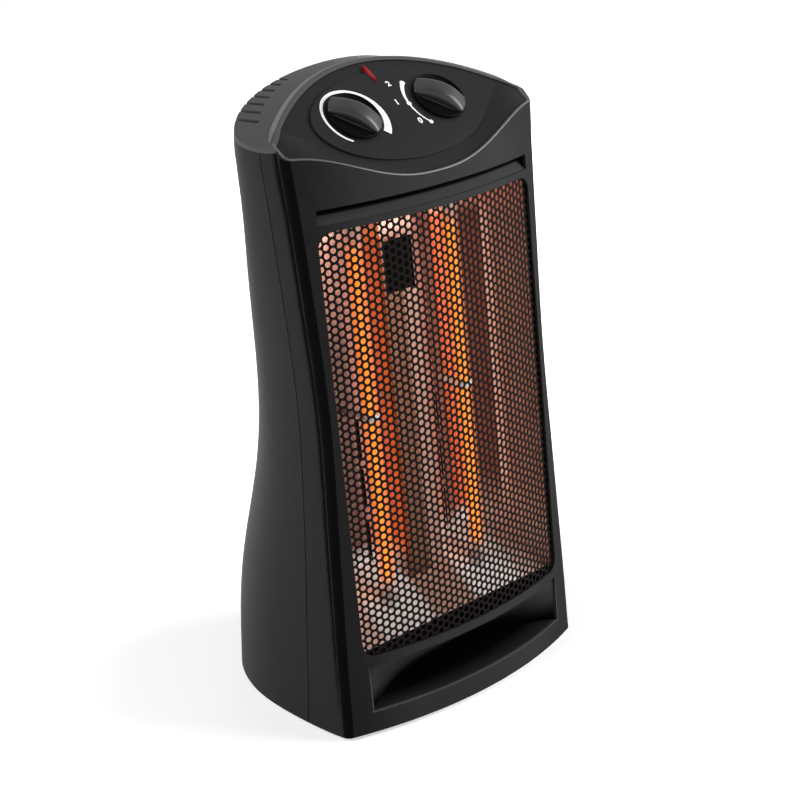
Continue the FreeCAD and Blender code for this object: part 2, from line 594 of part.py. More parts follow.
# Base plate, feet, screws, tip-over switch and terminal block
base = body(WALL + BASE_GAP).common(box(-BIG, BIG, -BIG, BIG, BASE_Z, BASE_Z + BASE_T)).cut(pilots)
base = base.cut(cyl(PLUNGER_R + 1.0, 20, V(PLUNGER_X, PLUNGER_Y, 0)))
nodes["base_plate"] = base
nodes["rubber_feet"] = Part.makeCompound([cyl(FOOT_R, BASE_Z, V(s * x, y, 0)) for s in (-1, 1)
                                          for x, y in ((FOOT_X, FOOT_FRONT), (FOOT_REAR_X, FOOT_BACK))])
screws = []
for x, y in zip(boss_x, boss_y):
    for side in (-1, 1):
        head = cyl(HEAD_R, HEAD_T, V(side * x, y, BASE_Z - HEAD_T))
        screws.append(head.fuse(cyl(SCREW_R, 12, V(side * x, y, BASE_Z))).removeSplitter())
nodes["base_screws"] = Part.makeCompound(screws)
tz = BASE_Z + BASE_T
tip = box(-TIP_W / 2, TIP_W / 2, -TIP_D / 2, TIP_D / 2, tz, tz + TIP_H)
tip = tip.translated(V(PLUNGER_X, PLUNGER_Y, 0))
nodes["tip_over_switch"] = tip.cut(cyl(PLUNGER_R + RUN_GAP, TIP_H + 12, V(PLUNGER_X, PLUNGER_Y, tz - 1)))
plunger = cyl(PLUNGER_R, PLUNGER_L, V(PLUNGER_X, PLUNGER_Y, 0))
button = cyl(BUTTON_R, BUTTON_H, V(PLUNGER_X, PLUNGER_Y, 0))
nodes["tip_over_plunger"] = plunger.fuse(button).removeSplitter()
block = box(-BLOCK_W - 10, -10, 60, 60 + BLOCK_D, tz, tz + BLOCK_H)
nodes["terminal_block"] = block

lo, hi = V(1e9, 1e9, 1e9), V(-1e9, -1e9, -1e9)
for name, s in nodes.items():
    if s.ShapeType != "Compound":
        s = s.Solids[0] if len(s.Solids) == 1 else s
    elif len(s.Solids) == 1:
        s = s.Solids[0]
    s.exportStep("parts/%s.step" % name)
    b = s.BoundBox
    lo = V(min(lo.x, b.XMin), min(lo.y, b.YMin), min(lo.z, b.ZMin))
    hi = V(max(hi.x, b.XMax), max(hi.y, b.YMax), max(hi.z, b.ZMax))
    print("%-20s solids %d valid %s vol %.0f" % (name, len(s.Solids), s.isValid(), s.Volume))
print("bounds", [round(v, 1) for v in (lo.x, lo.y, lo.z, hi.x, hi.y, hi.z)])
kp = on_panel(Part.Vertex(V(0, 0, 0)), 0.0).Point
print("panel tilt %.3f arc radius %.1f knob line y %.2f z %.2f" % (degrees(TILT), PAN_R, kp.y, kp.z))
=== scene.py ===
# %% [markdown]
# The heater arrives as one imported model in metres: the housing, the controls and the radiant bay.
# New pieces could be set by eye over a picture, but they would drift away from the solids.
# So everything made here is worked out in the model's own frame.

# %% Load the imported heater
import math
import bpy
import numpy as np
from mathutils import Matrix, Vector


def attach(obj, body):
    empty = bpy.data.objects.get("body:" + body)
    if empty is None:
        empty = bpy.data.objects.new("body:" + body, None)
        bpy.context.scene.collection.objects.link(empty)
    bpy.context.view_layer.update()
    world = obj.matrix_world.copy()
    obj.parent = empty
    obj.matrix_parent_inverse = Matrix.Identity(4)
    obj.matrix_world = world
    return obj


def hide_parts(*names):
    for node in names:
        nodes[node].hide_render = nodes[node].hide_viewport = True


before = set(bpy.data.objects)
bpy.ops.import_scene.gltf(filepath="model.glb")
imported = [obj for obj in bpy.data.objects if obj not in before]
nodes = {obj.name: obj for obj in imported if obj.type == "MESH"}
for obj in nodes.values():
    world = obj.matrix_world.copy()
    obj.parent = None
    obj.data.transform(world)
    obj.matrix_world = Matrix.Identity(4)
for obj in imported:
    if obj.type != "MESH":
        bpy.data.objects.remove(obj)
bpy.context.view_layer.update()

# %% [markdown]
# The photograph looks down on the left front corner, with the heater turned about forty degrees.
# A camera could be turned by hand until it looks right. Here the picture's right, up and
# towards-viewer directions come from two angles and a roll, and they are the first three columns
# of the camera's matrix. That way a small roll, which leans the picture, is one plain number,
# and so is the long lens, which fits the mild perspective of the upright edges.

# %% Camera
SENSOR_MM = 36.0
NEAR_CLIP, FAR_CLIP = 0.05, 50.0


def put(name, data):
    """New object with this data, linked into the scene."""
    obj = bpy.data.objects.new(name, data)
    bpy.context.scene.collection.objects.link(obj)
    return obj


def aim_camera(place, azimuth, elevation, roll, lens):
    """Right = level axis turned by the roll, up = its square, back = from object to viewer."""
    a, e, r = (math.radians(v) for v in (azimuth, elevation, roll))
    back = np.array([math.sin(a) * math.cos(e), -math.cos(a) * math.cos(e), math.sin(e)])
    level = np.array([math.cos(a), math.sin(a), 0.0])
    rise = np.cross(back, level)
    right = math.cos(r) * level + math.sin(r) * rise
    up = -math.sin(r) * level + math.cos(r) * rise
    data = bpy.data.cameras.new("viewpoint")
    data.sensor_width, data.lens = SENSOR_MM, lens
    data.clip_start, data.clip_end = NEAR_CLIP, FAR_CLIP
    cam = put("viewpoint", data)
    turn = np.eye(4)
    turn[:3] = np.column_stack([right, up, back, place])
    cam.matrix_world = Matrix(turn.tolist())
    bpy.context.scene.camera = cam
    return cam


cam = aim_camera(place=(-0.9983, -1.2517, 0.7800), azimuth=-39.97, elevation=18.19, roll=-5.66, lens=81.32)
print("camera at", [round(v, 3) for v in cam.location])

# %% [markdown]
# The new pieces lie on three forms of the moulding: the bowed face, the arc of the sloped panel and
# the line of the two control shafts. Points could be picked from the meshes, but the solids' own
# sizes say the same in a few numbers. Three small functions then take flat drawing places, such
# as across and up the slope, to places in metres.

# %% Shared places
MM = 0.001
FACE_Y, FACE_R = -142 * MM, 375 * MM
AXIS_Y = FACE_Y + FACE_R
KNOB_X, KNOB_R = 48 * MM, 25 * MM
TUBE_X, TUBE_Y = 56 * MM, -86 * MM
PANEL_FRONT, PANEL_BACK = (FACE_Y, 485.5 * MM), (FACE_Y + 91 * MM, 572.3 * MM)
KNOB_LINE = np.array([FACE_Y + 48.1 * MM, 537.0 * MM])


def circle_through(p, q, r):
    """Centre and radius from the two equal-distance equations, solved as a 2 by 2 system."""
    a = 2 * np.array([np.subtract(q, p), np.subtract(r, p)])
    b = np.array([np.dot(q, q) - np.dot(p, p), np.dot(r, r) - np.dot(p, p)])
    c = np.linalg.solve(a, b)
    return c, float(np.hypot(*(np.array(p) - c)))


PANEL_C, PANEL_R = circle_through(PANEL_FRONT, tuple(KNOB_LINE), PANEL_BACK)
TILT = math.atan2(PANEL_C[0] - KNOB_LINE[0], KNOB_LINE[1] - PANEL_C[1])
UP_SLOPE = np.array([0, math.cos(TILT), math.sin(TILT)])
OUT_OF_SLOPE = np.array([0, -math.sin(TILT), math.cos(TILT)])


def on_panel(x, s, h):
    """Panel arc in place: x across, s along the slope from the knob line, h out of the surface."""
    a = np.asarray(s) / PANEL_R - TILT
    r = PANEL_R + np.asarray(h)
    y, z = PANEL_C[0] + r * np.sin(a), PANEL_C[1] + r * np.cos(a)
    return np.stack(np.broadcast_arrays(np.asarray(x, float), y, z), -1)


def on_knob(side, x, s, h):
    """Flat control frame: x across, s up the slope, h along the shaft, from the knob's centre."""
    c = np.array([side * KNOB_X, KNOB_LINE[0], KNOB_LINE[1]])
    x, s, h = np.broadcast_arrays(np.asarray(x, float), s, h)
    return c + x[..., None] * np.array([1.0, 0, 0]) + s[..., None] * UP_SLOPE + h[..., None] * OUT_OF_SLOPE


def on_face(s, z, depth):
    """Bowed face: s is arc length across, depth is measured inwards from the face."""
    r = FACE_R - np.asarray(depth)
    a = np.asarray(s) / FACE_R
    return np.stack(np.broadcast_arrays(r * np.sin(a), AXIS_Y - r * np.cos(a), z), -1)


print("panel tilt %.2f deg, arc radius %.4f m" % (math.degrees(TILT), PANEL_R))

# %% [markdown]
# The real pieces are pressed, wound, turned or moulded, so each follows a rule that a formula can hold.
# A mesh could be pushed point by point, but a surface that is a grid of points needs only one small
# square, repeated: whole index arrays make all its faces at once. A finished mesh becomes a
# piece when it is put on the body that it moves with and gets the slot of its finish.

# %% Grid helpers
def turn_angles(count):
    """Even steps of one full turn, without the repeated last one."""
    return np.arange(count) * 2 * math.pi / count


def unit(v):
    """Rows scaled to length one."""
    return v / np.linalg.norm(v, axis=1, keepdims=True)


def grid_faces(nu, nv, wrap_v=False):
    """Quads of a grid stored row by row: (i, j), (i+1, j), (i+1, j+1), (i, j+1)."""
    i, j = np.arange(nu - 1), np.arange(nv if wrap_v else nv - 1)
    i, j = (a.ravel() for a in np.meshgrid(i, j, indexing="ij"))
    i2, j2 = i + 1, (j + 1) % nv
    return np.stack([i * nv + j, i2 * nv + j, i2 * nv + j2, i * nv + j2], 1)


def end_caps(rows, around):
    """The first ring as one face, and the last ring as one face that looks the other way."""
    last = (rows - 1) * around
    return [list(range(around)), list(range(last, last + around))[::-1]]


def carried_ring(path, first, second, around):
    """Ring at each point of a path: cos(b) times the first direction plus sin(b) times the second."""
    b = turn_angles(around)[None, :, None]
    return path[:, None] + np.cos(b) * first[:, None] + np.sin(b) * second[:, None]


def piece(name, points, faces, body, smooth=True):
    """Mesh object from points and lists of corners, on the body that carries it."""
    mesh = bpy.data.meshes.new(name)
    mesh.from_pydata(np.asarray(points, float).reshape(-1, 3).tolist(), [], faces)
    mesh.update()
    mesh.polygons.foreach_set("use_smooth", np.full(len(mesh.polygons), smooth))
    obj = put(name, mesh)
    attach(obj, body)
    print(name, len(mesh.vertices), "points", len(mesh.polygons), "faces")
    return obj


def thicken(obj, amount, offset):
    """Wall of this thickness, inwards for an offset of -1 and outwards for 1."""
    m = obj.modifiers.new("thickness", "SOLIDIFY")
    m.thickness, m.offset, m.use_even_offset = amount, offset, False
    return obj


print("a grid of 3 by 4 points has", len(grid_faces(3, 4)), "faces")

# %% [markdown]
# The grille is one bowed sheet of dark enamelled steel with round holes on a hexagonal pattern.
# A picture of holes or a bump would do from afar, but light has to come through from the tubes.
# So each hole is a ring of twelve quads between its circle and the hexagon that it owns.
# Neighbouring rings share their edges, and the whole sheet is real geometry.

# %% Perforated grille
HOLE_SIDES = 12
WELD = 2e-6


def perforated_sheet(width, z0, z1, pitch, radius, depth):
    """Hexagon edge at angle t: radius pitch/2 over cos of the angle to the nearest side's normal."""
    cols = int(width / 2 / (pitch * math.sqrt(3) / 2))
    rows = int((z1 - z0) / pitch)
    c, r = (a.ravel() for a in np.meshgrid(np.arange(-cols, cols + 1), np.arange(rows), indexing="ij"))
    cx = c * pitch * math.sqrt(3) / 2
    cz = z0 + (r + 0.5 + 0.5 * (c % 2)) * pitch
    t, sixth = turn_angles(HOLE_SIDES), math.pi / 6
    to_side = (t + sixth) % (2 * sixth) - sixth
    rim = pitch / 2 / np.cos(np.abs(np.abs(to_side) - sixth))
    reach = np.stack([rim, np.full(HOLE_SIDES, radius)])
    s = cx[:, None, None] + reach * np.cos(t)
    z = cz[:, None, None] + reach * np.sin(t)
    points = on_face(s, z, depth).reshape(-1, 3)
    k = np.arange(HOLE_SIDES)
    after = (k + 1) % HOLE_SIDES
    ring = np.stack([k, after, HOLE_SIDES + after, HOLE_SIDES + k], 1)
    faces = (np.arange(len(cx))[:, None, None] * 2 * HOLE_SIDES + ring).reshape(-1, 4)
    key = np.round(points / WELD).astype(np.int64)
    _, first, back = np.unique(key, axis=0, return_index=True, return_inverse=True)
    return points[first], back.ravel()[faces].tolist()


pts, quads = perforated_sheet(width=250 * MM, z0=71 * MM, z1=462 * MM, pitch=7.04 * MM, radius=2.62 * MM,
                              depth=2.65 * MM)
grille = piece("grille_sheet", pts, quads, "heater", smooth=False)
thicken(grille, amount=0.75 * MM, offset=-1.0)
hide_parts("grille")

# %% [markdown]
# The heating wire is wound as an open coil inside each quartz tube. A curve with a round bevel would
# also give it, but then its turns and ends would be less easy to count. A round profile carried along
# a helix has both as plain numbers. The solids hold only a rod of the same outside size there.

# %% Wound heating wire
STEPS_A_TURN = 14


def wound_wire(x, y, z0, z1, radius, wire, turns, around=8):
    """Helix centre line, with a circle square to its tangent carried along it."""
    t = np.linspace(0, 1, turns * STEPS_A_TURN + 1)
    a = 2 * math.pi * turns * t
    line = np.stack([x + radius * np.cos(a), y + radius * np.sin(a), z0 + (z1 - z0) * t], -1)
    out = np.stack([np.cos(a), np.sin(a), 0 * a], -1)
    side = np.cross(unit(np.gradient(line, axis=0)), out)
    ring = carried_ring(line, wire * out, wire * side, around)
    return ring, grid_faces(len(t), around, wrap_v=True)[:, ::-1].tolist() + end_caps(len(t), around)


coils = []
for side, name in ((-1, "left"), (1, "right")):
    pts, quads = wound_wire(side * TUBE_X, TUBE_Y, z0=118 * MM, z1=426 * MM, radius=2.9 * MM, wire=0.7 * MM,
                            turns=126)
    coil = piece("heating_wire_" + name, pts, quads, "heater")
    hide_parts("heating_coil_" + name)
    coils.append(coil)

# %% [markdown]
# Each control knob is one low moulding: a round skirt with a sunk floor, and across it a wide
# arched grip. A turned profile gives the skirt. The grip is a rounded section carried along
# a straight line, higher in the middle than at its ends, and as long as the skirt is wide.
# A box with bevels would also do, but the soft arch of the real grip comes from the section.

# %% Knob skirts and grips
GRIP_REACH = 0.97 * KNOB_R
GRIP_SPAN, GRIP_TIP = 0.985, 0.4 * MM
SKIRT = [(0.6, 2.4), (8, 2.4), (16, 2.4), (21.2, 2.4), (22.2, 2.6), (22.8, 3.2), (23.2, 4.0), (23.7, 4.3),
         (24.3, 4.2), (24.7, 3.8), (24.9, 3.2), (25.0, 2.1), (24.8, 2.0), (16, 2.0), (8, 2.0), (3.2, 2.0)]


def turned_skirt(side, profile, around=96):
    """Profile of (radius, height) pairs turned about the shaft; the two middles are closed by rings."""
    r, h = np.array(profile).T * MM
    a = turn_angles(around)
    p = on_knob(side, r[:, None] * np.cos(a), r[:, None] * np.sin(a), h[:, None])
    return p, grid_faces(len(r), around, wrap_v=True)[:, ::-1].tolist() + end_caps(len(r), around)


def arched_grip(side, point, half_width, low, middle, end, along=49, around=33):
    """Section |v/w|^5 + |h/H|^2.5 = 1 above the floor; H falls as the square of the way to the ends,
    and w is the half width or the skirt's chord, whichever is smaller."""
    u = np.sin(np.linspace(-1, 1, along) * math.pi / 2 * GRIP_SPAN)
    w = np.minimum(half_width, GRIP_REACH * np.sqrt(1 - u ** 2) + GRIP_TIP)
    top = end + (middle - end) * (1 - u ** 2)
    t = np.linspace(0, math.pi, around)
    c, q = np.cos(t), np.sin(t)
    v = w[:, None] * np.sign(c) * np.abs(c) ** (2 / 5)
    h = low + (top - low)[:, None] * np.abs(q) ** (2 / 2.5)
    a, way = math.radians(point), GRIP_REACH * u[:, None]
    p = on_knob(side, way * math.cos(a) - v * math.sin(a), way * math.sin(a) + v * math.cos(a), h)
    k = np.arange(along - 1) * around
    floor = np.stack([k, k + around, k + 2 * around - 1, k + around - 1], 1)
    faces = np.concatenate([grid_faces(along, around), floor])[:, ::-1]
    return p, faces.tolist() + end_caps(along, around)


knob_pieces = []
for side, name, point in ((-1, "thermostat", -46), (1, "power", 136)):
    pts, quads = turned_skirt(side, SKIRT)
    skirt = piece(name + "_knob_skirt", pts, quads, name + "_control")
    pts, quads = arched_grip(side, point, half_width=9.8 * MM, low=2.2 * MM, middle=13.2 * MM, end=4.4 * MM)
    grip = piece(name + "_knob_grip", pts, quads, name + "_control")
    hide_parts(name + "_knob")
    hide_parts(name + "_knob")
    knob_pieces += [skirt, grip]

# %% [markdown]
# The top of the housing has two edges that wave in space: the front frame's, where the panel and its
# apron meet the bowed face, and the crown's, where its arch meets the panel. They could be traced from
# the mesh. The same arcs and lines that the mouldings are cut from give them exactly, as functions.

# %% Curves of the top edges
TOP_Z, ARCH_R = 575.5 * MM, 245 * MM
CREASE_START, CREASE_CLIMB = -56.2 * MM, 4.1
RIM_LOW, RIM_RISE, RIM_POWER = 486.8 * MM, 32.7 * MM, 2.6
RIM_HALF = 139 * MM


def panel_height(y):
    """Height of the panel's arc over the floor at depth y."""
    return PANEL_C[1] + np.sqrt(PANEL_R ** 2 - (y - PANEL_C[0]) ** 2)


def panel_depth(z):
    """Depth of the panel's arc at height z, on its front half."""
    return PANEL_C[0] - np.sqrt(PANEL_R ** 2 - (z - PANEL_C[1]) ** 2)


def crown_height(x):
    """Crown arch, a circle in the front view."""
    return TOP_Z - ARCH_R + np.sqrt(ARCH_R ** 2 - x ** 2)


def apron_height(x, y):
    """Straight line at each x from the panel's crease, which climbs with the square of x, to the front
    rim, which rises to the sides as a power of a sine."""
    crease = on_panel(x, CREASE_START + CREASE_CLIMB * x ** 2, 0.0)
    yc, zc = crease[..., 1], crease[..., 2]
    yf = AXIS_Y - np.sqrt(FACE_R ** 2 - x ** 2)
    zf = RIM_LOW + RIM_RISE * np.sin(math.pi / 2 * np.minimum(1, np.abs(x) / RIM_HALF)) ** RIM_POWER
    return zc + (zf - zc) * (y - yc) / (yf - yc)


print("crown %.4f m high in the middle, %.4f at the sides" % (crown_height(0), crown_height(RIM_HALF)))

# %% [markdown]
# The mouldings end in rounded rims: a thin one along the wavy front edge, and a broader one along the
# crown's inner edge, which thins towards its ends. They catch the light as bright lines, and their
# lighter finishes add a painted highlight. A bevel on the solids would need a new mesh, so a rounded
# section is carried along each edge's own curve.

# %% Rounded rims of the frame and crown
FRAME_HALF, FRAME_CORNER = 139.4 * MM, 9 * MM
SEAM_Y, SIDE_FLARE = -87 * MM, 0.035
RIM_INSET, RIM_SINK, RIM_OVER = 1.4 * MM, 0.75 * MM, 0.5 * MM
CROWN_HALF, CROWN_BACK = 138 * MM, 2.2 * MM
THINNING, THIN_END = 0.1, 0.05


def swept_rim(name, path, across, wide, tall, around=16):
    """Ellipse of half sizes wide and tall, carried along the path; across is the wide direction."""
    tangent = unit(np.gradient(path, axis=0))
    across = unit(across - (across * tangent).sum(1, keepdims=True) * tangent)
    up = np.cross(tangent, across)
    up *= np.sign(up[:, 2:3])
    ring = carried_ring(path, np.reshape(wide, (-1, 1)) * across, np.reshape(tall, (-1, 1)) * up, around)
    ends = [ring_face[::-1] for ring_face in end_caps(len(path), around)]
    return piece(name, ring, grid_faces(len(path), around, wrap_v=True).tolist() + ends, "heater")


def frame_outline(inset, n=61):
    """Right half of the front outline: bowed face, rounded corner, then straight to the seam."""
    cx = FRAME_HALF - FRAME_CORNER
    cy = AXIS_Y - math.sqrt((FACE_R - FRAME_CORNER) ** 2 - cx ** 2)
    turn = math.atan2(cx, AXIS_Y - cy)
    a = np.linspace(0, turn, n)
    face = np.stack([(FACE_R - inset) * np.sin(a), AXIS_Y - (FACE_R - inset) * np.cos(a)], -1)
    b = np.linspace(turn, math.pi / 2, 13)[1:]
    r = FRAME_CORNER - inset
    bend = np.stack([cx + r * np.sin(b), cy - r * np.cos(b)], -1)
    y = np.linspace(cy, SEAM_Y, 15)[1:]
    return np.concatenate([face, bend, np.stack([FRAME_HALF - inset + SIDE_FLARE * (y - cy), y], -1)])


half = frame_outline(RIM_INSET)
line = np.concatenate([half[::-1] * (-1, 1), half[1:]])
top = np.maximum(panel_height(line[:, 1]), apron_height(line[:, 0], line[:, 1]))
below = top < crown_height(line[:, 0]) + RIM_OVER
line, top = line[below], top[below]
path = np.column_stack([line, top - RIM_SINK])
level = np.column_stack([np.gradient(line, axis=0)[:, ::-1] * (1, -1), np.zeros(len(line))])
frame_rim = swept_rim("frame_rim", path, level, wide=1.35 * MM, tall=1.1 * MM)

x = np.linspace(-1, 1, 141) * CROWN_HALF
z, fade = crown_height(x), np.abs(x) / CROWN_HALF
taper = np.clip((1.01 - fade) / THINNING, THIN_END, 1) ** 0.5
path = np.column_stack([x, panel_depth(z) + CROWN_BACK, z - (2.1 - 1.4 * fade) * MM])
slope = np.tile(UP_SLOPE, (len(x), 1))
crown_rim = swept_rim("crown_rim", path, slope, wide=(2.6 + 1.4 * fade) * taper * MM, tall=1.3 * taper * MM)

# %% [markdown]
# White print on the oval plate. The heat scale is a band round the thermostat knob that widens from
# the cool end to the hot end, and the power scale is a thin arc with three dots. Print could be painted
# in the plate's finish, but thin geometry on the plate's own curve keeps a sharp edge at any distance.

# %% Printed scales
PRINT_UP, PRINT_FILM = 1.03 * MM, 0.06 * MM
DOT_SIDES, DOT_RINGS, DOT_EYE = 24, 5, 0.05
COOL_END, HOT_END = 235, -46
POWER_STOPS, POWER_REACH = (222, 179, 136), 33.6 * MM


def printed(name, points, faces):
    """A film of ink with this outline."""
    obj = piece(name, points, faces, "heater", smooth=False)
    return thicken(obj, amount=PRINT_FILM, offset=1.0)


def print_band(name, side, first, last, inner, outer):
    """Band between two radii in mm that change along the angle, laid on the panel's arc."""
    a = np.radians(np.linspace(first, last, len(inner)))[:, None]
    w = np.linspace(0, 1, 5)
    r = (inner[:, None] * (1 - w) + outer[:, None] * w) * MM
    p = on_panel(side * KNOB_X + r * np.cos(a), r * np.sin(a), PRINT_UP)
    return printed(name, p, grid_faces(*r.shape)[:, ::-1].tolist())


def print_dot(name, side, angle, radius):
    """Disc of rings about a centre, laid on the panel's arc."""
    a, b = turn_angles(DOT_SIDES), math.radians(angle)
    r = np.linspace(DOT_EYE, 1, DOT_RINGS)[:, None] * radius
    x = side * KNOB_X + POWER_REACH * math.cos(b) + r * np.cos(a)
    p = on_panel(x, POWER_REACH * math.sin(b) + r * np.sin(a), PRINT_UP)
    return printed(name, p, grid_faces(DOT_RINGS, DOT_SIDES, wrap_v=True).tolist() + [list(range(DOT_SIDES))])


t = np.linspace(0, 1, 97)
prints = [print_band("heat_scale", -1, COOL_END, HOT_END, 27.4 + 0 * t, 28.6 + 2.6 * t ** 0.5 + 3.6 * t ** 4),
          print_band("power_scale", 1, POWER_STOPS[0], POWER_STOPS[-1],
                     33.0 - 1.6 * t ** 2, 34.2 + 1.6 * t ** 2)]
for k, angle in enumerate(POWER_STOPS):
    prints.append(print_dot("power_dot_%d" % k, 1, angle, (2.0 + 0.25 * k) * MM))

# %% [markdown]
# Plain numerals stand beside the three stops of the power control. A text object could be left as it
# is, but it would stay flat over a curved plate. So its flat mesh is read once, and its x and y are
# used as places across and up the panel.

# %% Printed numerals
NUMERAL_SIZE, STROKE_SHARE = 8.0 * MM, 0.035


def print_numeral(name, text, x, s, size):
    """A numeral's flat mesh, its x and y used as panel x and slope."""
    curve = bpy.data.curves.new(name, "FONT")
    curve.body, curve.size, curve.align_x, curve.align_y = text, size, "CENTER", "CENTER"
    curve.offset = STROKE_SHARE * size
    temp = put(name + "_text", curve)
    bpy.context.view_layer.update()
    flat = bpy.data.meshes.new_from_object(temp)
    co = np.zeros(len(flat.vertices) * 3)
    flat.vertices.foreach_get("co", co)
    co = co.reshape(-1, 3)
    faces = [list(p.vertices) for p in flat.polygons]
    bpy.data.objects.remove(temp)
    return printed(name, on_panel(x + co[:, 0], s + co[:, 1], PRINT_UP), faces)


for text, x, along in (("0", 13.0, -19.0), ("1", 3.5, 4.5), ("2", 9.5, 25.5)):
    prints.append(print_numeral("power_numeral_" + text, text, x * MM, along * MM, NUMERAL_SIZE))

# %% [markdown]
# Every finish on the heater is a small net of nodes. They could be drawn by hand in the node editor,
# but a few helpers that add a node, feed it and hand on its result make the nets short to read.
# A ramp turns a measure such as a tone or a height into another number, held at both ends.
# Effects that several finishes share go into a group, which has named inputs and outputs.

# %% Node helpers
def add(tree, kind, **values):
    """New node; each value goes to the input of that name, or else to the node's own setting."""
    n = tree.nodes.new(kind)
    for k, v in values.items():
        if k in n.inputs:
            n.inputs[k].default_value = v
        else:
            setattr(n, k, v)
    return n


def feed(tree, into, value):
    """A socket is linked, and a plain value is set."""
    if isinstance(value, bpy.types.NodeSocket):
        tree.links.new(value, into)
    else:
        into.default_value = value


def ramp(tree, value, start, end, low=0.0, high=1.0):
    """Low at start, high at end, straight between and held beyond."""
    n = add(tree, "ShaderNodeMapRange", **{"From Min": start, "From Max": end, "To Min": low, "To Max": high})
    tree.links.new(value, n.inputs["Value"])
    return n.outputs["Result"]


def laid_over(tree, below, colour, mask):
    """The colour below, with a new one over it where the mask is one."""
    mix = add(tree, "ShaderNodeMix", data_type="RGBA")
    feed(tree, mix.inputs["A"], below)
    mix.inputs["B"].default_value = (*colour, 1)
    tree.links.new(mask, mix.inputs["Factor"])
    return mix.outputs["Result"]


def new_group(name, inputs, values, normals=()):
    """Node group with number inputs and their first values, number outputs and normal outputs."""
    g = bpy.data.node_groups.new(name, "ShaderNodeTree")
    for n, default in inputs.items():
        g.interface.new_socket(n, in_out="INPUT", socket_type="NodeSocketFloat").default_value = default
    for n in values:
        g.interface.new_socket(n, in_out="OUTPUT", socket_type="NodeSocketFloat")
    for n in normals:
        g.interface.new_socket(n, in_out="OUTPUT", socket_type="NodeSocketVector")
    print("group", name, "puts out", ", ".join((*values, *normals)))
    return g, g.nodes.new("NodeGroupInput"), g.nodes.new("NodeGroupOutput")


print("node helpers:", ", ".join(f.__name__ for f in (add, feed, ramp, laid_over, new_group)))

# %% [markdown]
# Moulded plastic, enamel and sheet all have a fine grain and a slow drift of tone, which keep large
# surfaces from looking like flat paint, and edges that are never quite sharp. Each finish could have its
# own nodes for that. One group holds them for all, with the grain's size and the edge's radius as inputs.
# It reads Object coordinates, in metres, so the pattern stays on a piece as it turns.

# %% Moulded grain and a finish that uses it
EDGE_MM, GRAIN_LIFT = 0.6, 0.0002


def moulded_grain():
    """Height = fine noise; tone = slow noise about one half; edge = the normal rounded over sharp edges."""
    g, i, o = new_group("moulded_grain", {"Grain": 900.0, "Drift": 9.0, "Round": EDGE_MM * MM},
                        ("Height", "Tone"), ("Edge",))
    tc = add(g, "ShaderNodeTexCoord")
    fine = add(g, "ShaderNodeTexNoise", Detail=2.0, Roughness=0.6)
    slow = add(g, "ShaderNodeTexNoise", Detail=3.0, Roughness=0.55)
    bevel = add(g, "ShaderNodeBevel", samples=4)
    for n, scale, out in ((fine, "Grain", "Height"), (slow, "Drift", "Tone")):
        g.links.new(tc.outputs["Object"], n.inputs["Vector"])
        g.links.new(i.outputs[scale], n.inputs["Scale"])
        g.links.new(n.outputs["Fac"], o.inputs[out])
    g.links.new(i.outputs["Round"], bevel.inputs["Radius"])
    g.links.new(bevel.outputs["Normal"], o.inputs["Edge"])
    return g


GRAIN = moulded_grain()


def finish(name, dark, light, rough, grain=900.0, bump=0.12, metallic=0.0, emit=None, gloss=0.5, alpha=1.0,
           edge=EDGE_MM):
    """Colour runs from dark to light with the tone; roughness follows it; the grain lifts the normal."""
    m = bpy.data.materials.new(name)
    m.use_nodes = True
    t = m.node_tree
    b = t.nodes["Principled BSDF"]
    g = add(t, "ShaderNodeGroup", node_tree=GRAIN)
    g.inputs["Grain"].default_value, g.inputs["Round"].default_value = grain, edge * MM
    tone = g.outputs["Tone"]
    t.links.new(laid_over(t, (*dark, 1), light, tone), b.inputs["Base Color"])
    t.links.new(ramp(t, tone, 0, 1, *rough), b.inputs["Roughness"])
    lift = add(t, "ShaderNodeBump", Strength=bump, Distance=GRAIN_LIFT)
    t.links.new(g.outputs["Height"], lift.inputs["Height"])
    t.links.new(g.outputs["Edge"], lift.inputs["Normal"])
    t.links.new(lift.outputs["Normal"], b.inputs["Normal"])
    for socket, value in (("Metallic", metallic), ("Specular IOR Level", gloss), ("Alpha", alpha)):
        b.inputs[socket].default_value = value
    if emit:
        b.inputs["Emission Color"].default_value = (*emit[0], 1)
        b.inputs["Emission Strength"].default_value = emit[1]
    return m


# %% [markdown]
# Some surfaces of the heater change their tone from place to place, as heat or depth has left them.
# A mask says where: one in the place, nought elsewhere, and soft between. It could be painted on the
# mesh, but the solids' meshes stay as they are, so it is worked out from the place itself. A span is
# such a mask along one measure, with its ends in millimetres.

# %% Mask helpers
def calc(tree, operation, a, b=None, **values):
    """One sum on sockets or plain numbers."""
    n = add(tree, "ShaderNodeMath", operation=operation, **values)
    feed(tree, n.inputs[0], a)
    if b is not None:
        feed(tree, n.inputs[1], b)
    return n.outputs[0]


def times(tree, a, b):
    """Product of two masks: one only where both are one."""
    return calc(tree, "MULTIPLY", a, b)


def span(tree, value, start, full, fade=None, none=None):
    """Places in mm: nought at start, one from full on, and then one up to fade and nought from none on."""
    rise = ramp(tree, value, start * MM, full * MM)
    return rise if fade is None else times(tree, rise, ramp(tree, value, none * MM, fade * MM))


def parts_of(tree, kind):
    """X, Y and Z of the Object place or the Normal, in the part's own frame."""
    part = add(tree, "ShaderNodeSeparateXYZ")
    tree.links.new(add(tree, "ShaderNodeTexCoord").outputs[kind], part.inputs["Vector"])
    return part.outputs["X"], part.outputs["Y"], part.outputs["Z"]


print("mask helpers:", ", ".join(f.__name__ for f in (calc, times, span, parts_of)))
